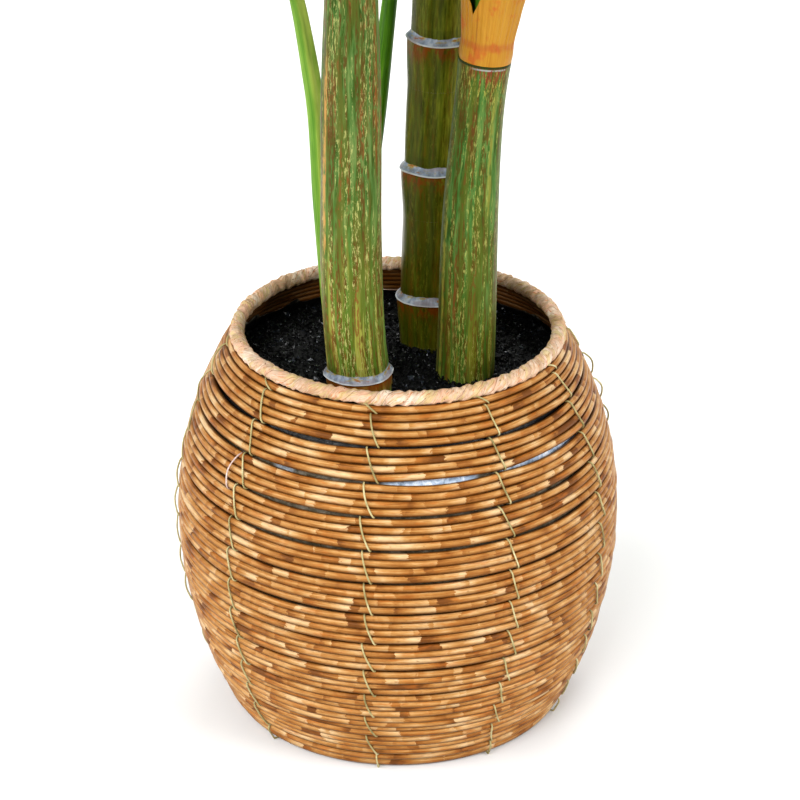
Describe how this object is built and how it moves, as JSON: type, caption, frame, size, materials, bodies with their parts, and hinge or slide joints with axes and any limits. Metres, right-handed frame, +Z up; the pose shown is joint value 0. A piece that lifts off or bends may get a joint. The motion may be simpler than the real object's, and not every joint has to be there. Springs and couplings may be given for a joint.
{
  "type": "artificial potted alocasia",
  "caption": "Artificial alocasia in a rattan basket: ringed canes and long stalks carry drooping arrow-shaped leaves above black filling.",
  "frame": {"origin": "middle of the basket's flat underside, on the ground plane", "axes": "+Z up along the basket's axis; -Y is the basket's front, +X is to the right seen from the front"},
  "size_m": [0.8956, 0.8645, 1.4623],
  "materials": {
    "rattan": "varnished rattan strands",
    "rim_wrap": "dry wrapped strip",
    "liner_film": "thin film",
    "black_filling": "loose shiny granules",
    "cane_bark": "satin, streaked",
    "sheath_skin": "satin, finely lined",
    "stalk_green": "satin",
    "leaf_green": "satin printed cloth"
  },
  "bodies": {
    "root": {"basket_wall": "rattan", "basket_rim": "rim_wrap", "base_hoop": "rattan", "basket_floor": "rattan", "liner": "liner_film", "filling": "black_filling", "cane_left": "cane_bark", "sheath_left": "sheath_skin", "stalk_left_1": "stalk_green", "stalk_left_2": "stalk_green", "stalk_left_3": "stalk_green", "stalk_left_4": "stalk_green", "stalk_left_5": "stalk_green", "leaf_left_1": "leaf_green", "leaf_left_2": "leaf_green", "leaf_left_3": "leaf_green", "leaf_left_4": "leaf_green", "leaf_left_5": "leaf_green", "cane_middle": "cane_bark", "sheath_middle": "sheath_skin", "stalk_middle_1": "stalk_green", "stalk_middle_2": "stalk_green", "stalk_middle_3": "stalk_green", "stalk_middle_4": "stalk_green", "stalk_middle_5": "stalk_green", "stalk_middle_6": "stalk_green", "stalk_middle_7": "stalk_green", "leaf_middle_1": "leaf_green", "leaf_middle_2": "leaf_green", "leaf_middle_3": "leaf_green", "leaf_middle_4": "leaf_green", "leaf_middle_5": "leaf_green", "leaf_middle_6": "leaf_green", "leaf_middle_7": "leaf_green", "cane_right": "cane_bark", "sheath_right": "sheath_skin", "stalk_right_1": "stalk_green", "stalk_right_2": "stalk_green", "stalk_right_3": "stalk_green", "stalk_right_4": "stalk_green", "leaf_right_1": "leaf_green", "leaf_right_2": "leaf_green", "leaf_right_3": "leaf_green", "leaf_right_4": "leaf_green", "stalk_low_1": "stalk_green", "stalk_low_2": "stalk_green", "leaf_low_1": "leaf_green", "leaf_low_2": "leaf_green"}
  },
  "joints": []
}
